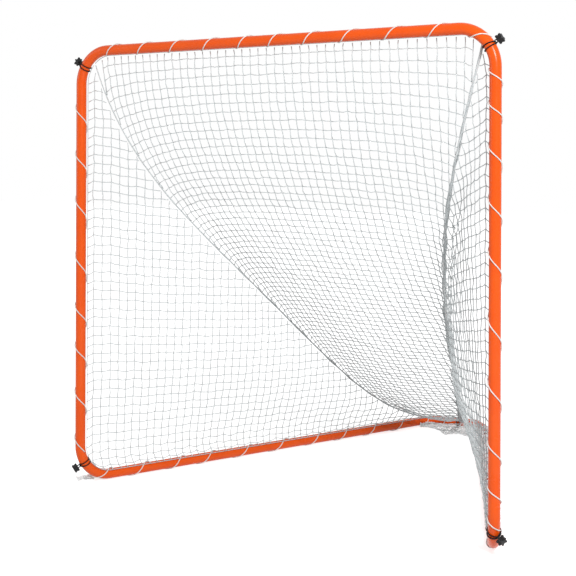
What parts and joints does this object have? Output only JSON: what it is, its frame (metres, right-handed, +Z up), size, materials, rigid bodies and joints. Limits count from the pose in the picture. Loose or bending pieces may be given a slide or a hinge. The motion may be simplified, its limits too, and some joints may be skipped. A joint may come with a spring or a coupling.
{
  "type": "lacrosse goal net",
  "caption": "Backyard goal of orange steel tube: square mouth, V-shaped base and a white net laced on and tied at the corners.",
  "frame": {"origin": "on the ground, midway between the two posts' axes", "axes": "+Z up, +Y back from the mouth along the goal's centre line, +X to the right for a player who faces the mouth"},
  "size_m": [1.9561, 2.0028, 1.8769],
  "materials": {
    "orange_powder_coat": "glossy orange powder coat",
    "bright_steel": "zinc-plated spring steel",
    "white_cord": "twisted white polyester twine",
    "black_elastic": "woven cover over a rubber core",
    "black_plastic": "moulded, lightly textured"
  },
  "bodies": {
    "frame": {"base_side_left": "orange_powder_coat", "base_side_right": "orange_powder_coat", "button_spring_base_left": "bright_steel", "button_spring_base_right": "bright_steel", "button_spring_crossbar": "bright_steel", "button_spring_lower_post_left": "bright_steel", "button_spring_lower_post_right": "bright_steel", "button_spring_rear_left": "bright_steel", "button_spring_rear_right": "bright_steel", "button_spring_upper_post_left": "bright_steel", "button_spring_upper_post_right": "bright_steel", "foot_corner_left": "orange_powder_coat", "foot_corner_right": "orange_powder_coat", "lacing_base_left": "white_cord", "lacing_base_right": "white_cord", "lacing_crossbar": "white_cord", "lacing_post_left": "white_cord", "lacing_post_right": "white_cord", "lacing_rear_left": "white_cord", "lacing_rear_right": "white_cord", "net_back": "white_cord", "net_left": "white_cord", "net_right": "white_cord", "net_seam_left": "white_cord", "net_seam_right": "white_cord", "post_left": "orange_powder_coat", "post_right": "orange_powder_coat", "rear_corner": "orange_powder_coat", "tie_foot_left": "black_elastic", "tie_foot_right": "black_elastic", "tie_rear": "black_elastic", "tie_top_left": "black_elastic", "tie_top_right": "black_elastic", "top_corner_left": "orange_powder_coat", "top_corner_right": "orange_powder_coat"},
    "crossbar_button": {"button_crossbar": "bright_steel"},
    "upper_post_left_button": {"button_upper_post_left": "bright_steel"},
    "upper_post_right_button": {"button_upper_post_right": "bright_steel"},
    "lower_post_left_button": {"button_lower_post_left": "bright_steel"},
    "lower_post_right_button": {"button_lower_post_right": "bright_steel"},
    "base_left_button": {"button_base_left": "bright_steel"},
    "base_right_button": {"button_base_right": "bright_steel"},
    "rear_left_button": {"button_rear_left": "bright_steel"},
    "rear_right_button": {"button_rear_right": "bright_steel"},
    "top_left_toggle": {"toggle_top_left": "black_plastic"},
    "top_right_toggle": {"toggle_top_right": "black_plastic"},
    "foot_left_toggle": {"toggle_foot_left": "black_plastic"},
    "foot_right_toggle": {"toggle_foot_right": "black_plastic"},
    "rear_toggle": {"toggle_rear": "black_plastic"}
  },
  "joints": [
    {"name": "crossbar_button_press", "type": "slide", "parent": "frame", "child": "crossbar_button", "axis": [0, 0, -1], "range_m": [0, 0.0049], "stiffness_N_per_m": 800, "springref_m": -0.004, "deforming": ["button_spring_crossbar"]},
    {"name": "upper_post_left_button_press", "type": "slide", "parent": "frame", "child": "upper_post_left_button", "axis": [0, -1, 0], "range_m": [0, 0.0049], "stiffness_N_per_m": 800, "springref_m": -0.004, "deforming": ["button_spring_upper_post_left"]},
    {"name": "upper_post_right_button_press", "type": "slide", "parent": "frame", "child": "upper_post_right_button", "axis": [0, -1, 0], "range_m": [0, 0.0049], "stiffness_N_per_m": 800, "springref_m": -0.004, "deforming": ["button_spring_upper_post_right"]},
    {"name": "lower_post_left_button_press", "type": "slide", "parent": "frame", "child": "lower_post_left_button", "axis": [0, -1, 0], "range_m": [0, 0.0049], "stiffness_N_per_m": 800, "springref_m": -0.004, "deforming": ["button_spring_lower_post_left"]},
    {"name": "lower_post_right_button_press", "type": "slide", "parent": "frame", "child": "lower_post_right_button", "axis": [0, -1, 0], "range_m": [0, 0.0049], "stiffness_N_per_m": 800, "springref_m": -0.004, "deforming": ["button_spring_lower_post_right"]},
    {"name": "base_left_button_press", "type": "slide", "parent": "frame", "child": "base_left_button", "axis": [0.9233, -0.3841, 0], "range_m": [0, 0.0049], "stiffness_N_per_m": 800, "springref_m": -0.004, "deforming": ["button_spring_base_left"]},
    {"name": "base_right_button_press", "type": "slide", "parent": "frame", "child": "base_right_button", "axis": [-0.9233, -0.3841, 0], "range_m": [0, 0.0049], "stiffness_N_per_m": 800, "springref_m": -0.004, "deforming": ["button_spring_base_right"]},
    {"name": "rear_left_button_press", "type": "slide", "parent": "frame", "child": "rear_left_button", "axis": [0.9233, -0.3841, 0], "range_m": [0, 0.0049], "stiffness_N_per_m": 800, "springref_m": -0.004, "deforming": ["button_spring_rear_left"]},
    {"name": "rear_right_button_press", "type": "slide", "parent": "frame", "child": "rear_right_button", "axis": [-0.9233, -0.3841, 0], "range_m": [0, 0.0049], "stiffness_N_per_m": 800, "springref_m": -0.004, "deforming": ["button_spring_rear_right"]},
    {"name": "top_left_toggle_pull", "type": "slide", "parent": "frame", "child": "top_left_toggle", "axis": [-0.848, 0, 0.5299], "range_m": [0, 0.02], "stiffness_N_per_m": 300, "springref_m": -0.01, "deforming": ["tie_top_left"]},
    {"name": "top_right_toggle_pull", "type": "slide", "parent": "frame", "child": "top_right_toggle", "axis": [0.848, 0, 0.5299], "range_m": [0, 0.02], "stiffness_N_per_m": 300, "springref_m": -0.01, "deforming": ["tie_top_right"]},
    {"name": "foot_left_toggle_pull", "type": "slide", "parent": "frame", "child": "foot_left_toggle", "axis": [-0.5536, -0.6569, -0.5119], "range_m": [0, 0.02], "stiffness_N_per_m": 300, "springref_m": -0.01, "deforming": ["tie_foot_left"]},
    {"name": "foot_right_toggle_pull", "type": "slide", "parent": "frame", "child": "foot_right_toggle", "axis": [0.7964, -0.4211, -0.4341], "range_m": [0, 0.02], "stiffness_N_per_m": 300, "springref_m": -0.01, "deforming": ["tie_foot_right"]},
    {"name": "rear_toggle_pull", "type": "slide", "parent": "frame", "child": "rear_toggle", "axis": [0, 1, 0], "range_m": [0, 0.02], "stiffness_N_per_m": 300, "springref_m": -0.01, "deforming": ["tie_rear"]}
  ]
}
